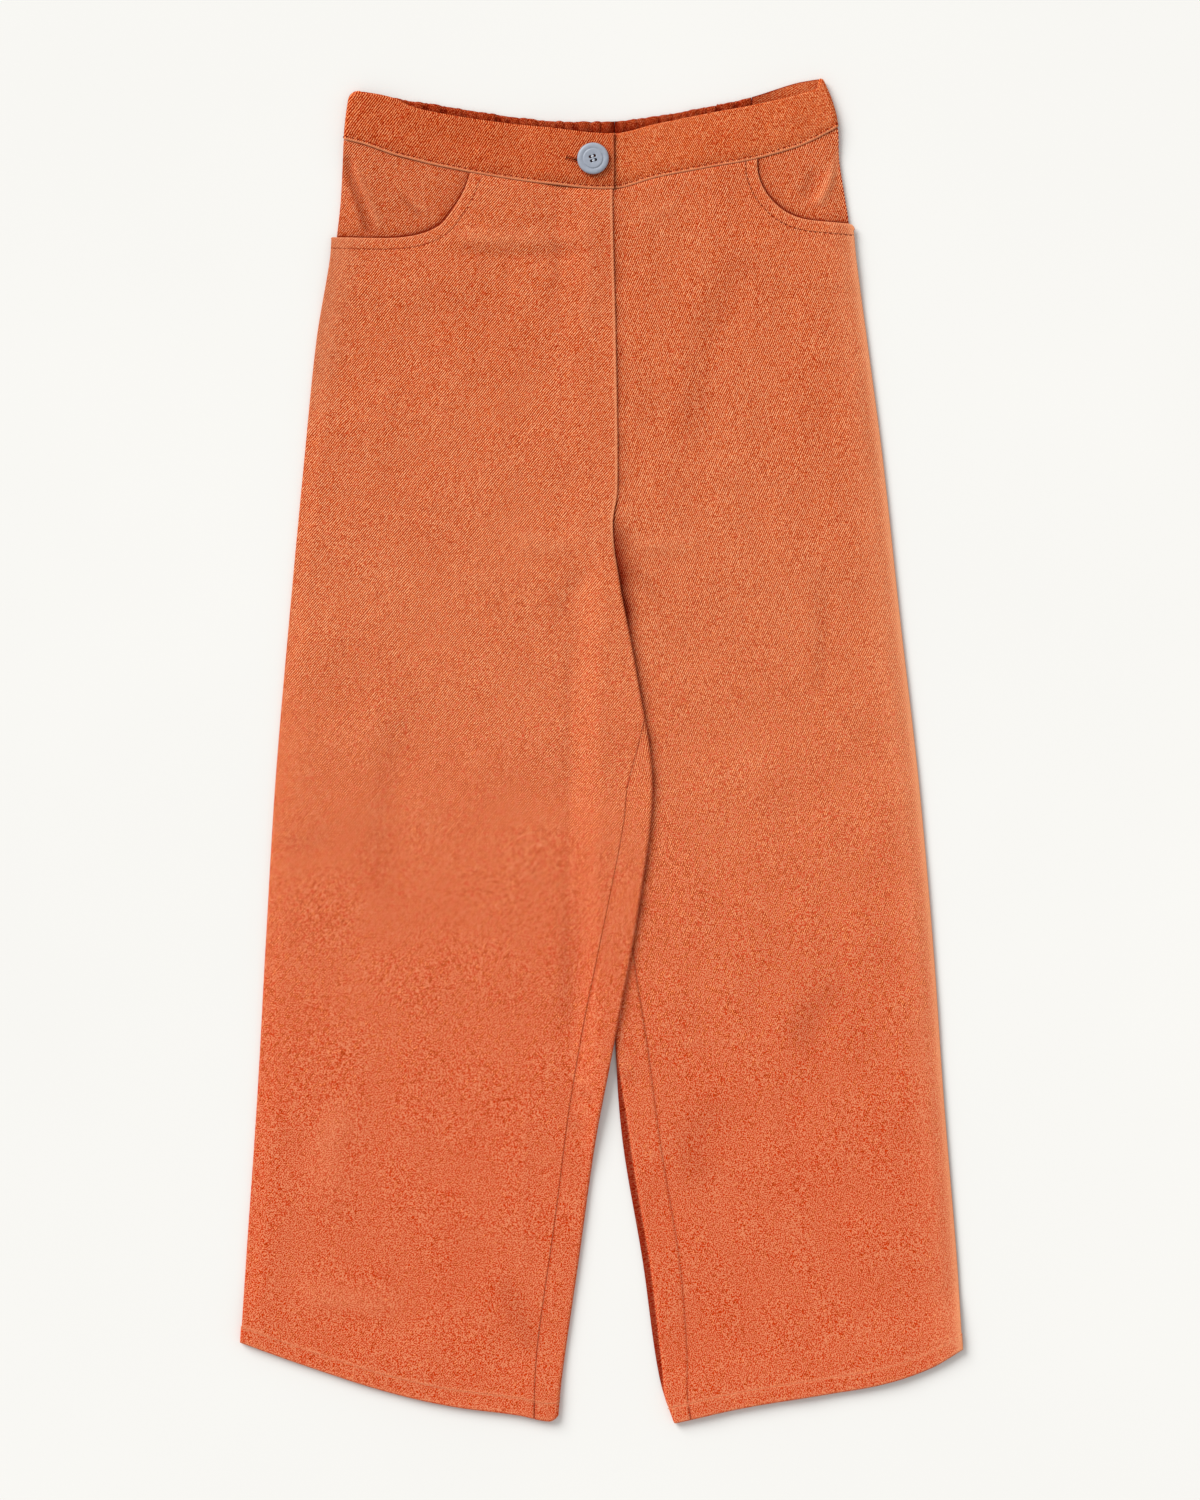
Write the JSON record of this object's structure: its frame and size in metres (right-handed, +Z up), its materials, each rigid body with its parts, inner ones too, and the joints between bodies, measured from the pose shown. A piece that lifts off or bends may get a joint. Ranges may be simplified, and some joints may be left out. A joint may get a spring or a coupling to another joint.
{
  "type": "twill trousers, laid flat",
  "caption": "High-waisted, wide-leg, cropped twill trousers lying flat, with curved front pockets, a buttoned fly waistband and an elasticated back waist.",
  "frame": {"origin": "centre of the garment's outline on the surface that it lies on", "axes": "+Y towards the waist, +X towards the wearer's left, +Z up from the surface, towards the front of the garment"},
  "size_m": [0.5265, 0.9811, 0.0143],
  "materials": {
    "twill": "soft brushed rust-orange cotton twill, matt",
    "band_twill": "the same twill, doubled, matt",
    "button_plastic": "satin blue-grey",
    "button_thread": "pale blue-grey sewing thread"
  },
  "bodies": {
    "root": {"front_right": "twill", "front_left": "twill", "back_right": "twill", "back_left": "twill", "hip_facing_right": "twill", "hip_facing_left": "twill", "waistband_front_right": "band_twill", "waistband_front_left": "band_twill", "waistband_back_right": "band_twill", "waistband_back_left": "band_twill", "button": "button_plastic", "button_thread": "button_thread"}
  },
  "joints": []
}
